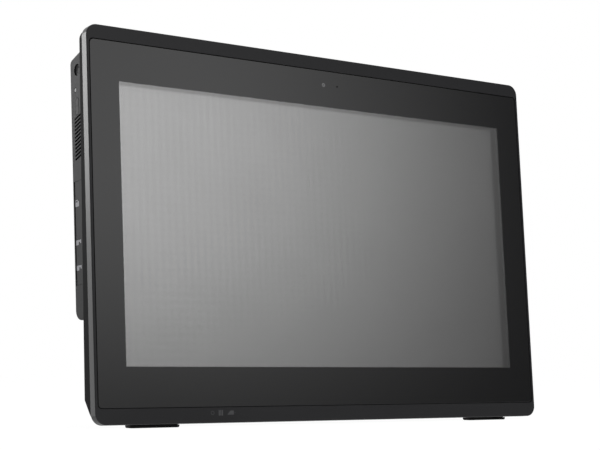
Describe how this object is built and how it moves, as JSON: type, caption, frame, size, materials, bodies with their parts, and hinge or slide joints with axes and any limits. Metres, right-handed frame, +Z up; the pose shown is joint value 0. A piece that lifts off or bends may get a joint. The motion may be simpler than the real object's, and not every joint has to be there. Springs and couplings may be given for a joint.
{
  "type": "all in one pc",
  "caption": "Black touch-screen all-in-one computer: framed glass front, thin wedge body, raised rear housing with side controls, covered side sockets, bottom connectors and a fold-out stand.",
  "frame": {"origin": "centre of the bounding box in plan, on the surface that the feet and the stand rest on", "axes": "+X to the viewer's right when facing the screen, +Y from the screen to the back, +Z up; the screen leans back 4 degrees"},
  "size_m": [0.392, 0.1616, 0.2719],
  "materials": {
    "frame_plastic": "fine satin moulded black",
    "body_plastic": "fine textured black",
    "housing_plastic": "textured charcoal",
    "button_plastic": "satin black",
    "rubber": "matt black rubber",
    "touch_glass": "smooth glass, black border print",
    "adhesive": "black foam tape",
    "display_face": "switched-off display, grey",
    "steel": "zinc plated sheet",
    "circuit_board": "green solder mask",
    "lens": "dark coated lens",
    "clear_plastic": "clear light pipe",
    "speaker_plastic": "black plastic",
    "chip": "moulded black",
    "aluminium": "extruded or cast, matt",
    "cable": "shielded ribbon",
    "port_insert": "moulded black",
    "port_shell": "plated shell",
    "black_steel": "black powder coat",
    "screw_steel": "black zinc"
  },
  "bodies": {
    "root": {"front_frame": "frame_plastic", "touch_glass": "touch_glass", "glass_tape": "adhesive", "display_cell": "display_face", "backlight_tray": "steel", "display_bracket_left": "steel", "display_bracket_right": "steel", "camera_module": "circuit_board", "camera_lens": "lens", "microphone": "steel", "touch_board": "circuit_board", "indicator_board": "circuit_board", "body_shell": "body_plastic", "rear_housing": "housing_plastic", "status_light": "clear_plastic", "power_board": "circuit_board", "speaker_left": "speaker_plastic", "speaker_right": "speaker_plastic", "port_door_pin": "steel", "chassis_plate": "steel", "main_board": "circuit_board", "processor": "chip", "heatsink": "aluminium", "memory_module_lower": "circuit_board", "memory_module_upper": "circuit_board", "wireless_card": "circuit_board", "wireless_antenna": "chip", "drive_bracket": "steel", "drive": "aluminium", "side_port_board": "circuit_board", "display_cable": "cable", "dc_jack": "port_insert", "hdmi_port": "port_shell", "lan_port_left": "port_shell", "lan_port_right": "port_shell", "usb_stack_left": "port_shell", "usb_stack_right": "port_shell", "headphone_jack": "port_insert", "microphone_jack": "port_insert", "port_plate": "black_steel", "card_reader": "port_shell", "side_usb_upper": "port_shell", "side_usb_lower": "port_shell", "stand_bracket": "black_steel", "stand_pin": "steel", "foot_left": "rubber", "foot_right": "rubber", "bracket_screw_1": "screw_steel", "bracket_screw_2": "screw_steel", "bracket_screw_3": "screw_steel", "bracket_screw_4": "screw_steel", "housing_screw_1": "screw_steel", "housing_screw_2": "screw_steel", "housing_screw_3": "screw_steel", "housing_screw_4": "screw_steel"},
    "power_button": {"power_button": "button_plastic"},
    "volume_rocker": {"volume_rocker": "button_plastic"},
    "side_door": {"port_door": "housing_plastic"},
    "stand": {"stand_leg": "black_steel", "stand_pad": "rubber"}
  },
  "joints": [
    {"name": "power_button_press", "type": "slide", "parent": "root", "child": "power_button", "axis": [1, 0, 0], "range_m": [0, 0.0008], "stiffness_N_per_m": 1200, "springref_m": -0.0006},
    {"name": "volume_rock", "type": "hinge", "parent": "root", "child": "volume_rocker", "pos_m": [-0.188, -0.03943, 0.21867], "axis": [0, 0.9976, -0.0698], "range_deg": [-3, 3], "stiffness_Nm_per_rad": 0.12},
    {"name": "side_door_hinge", "type": "hinge", "parent": "root", "child": "side_door", "pos_m": [-0.1891, -0.04011, 0.13147], "axis": [0, -0.0698, -0.9976], "range_deg": [0, 95]},
    {"name": "stand_hinge", "type": "hinge", "parent": "root", "child": "stand", "pos_m": [0, -0.03028, 0.08718], "axis": [1, 0, 0], "range_deg": [-10, 126]}
  ]
}
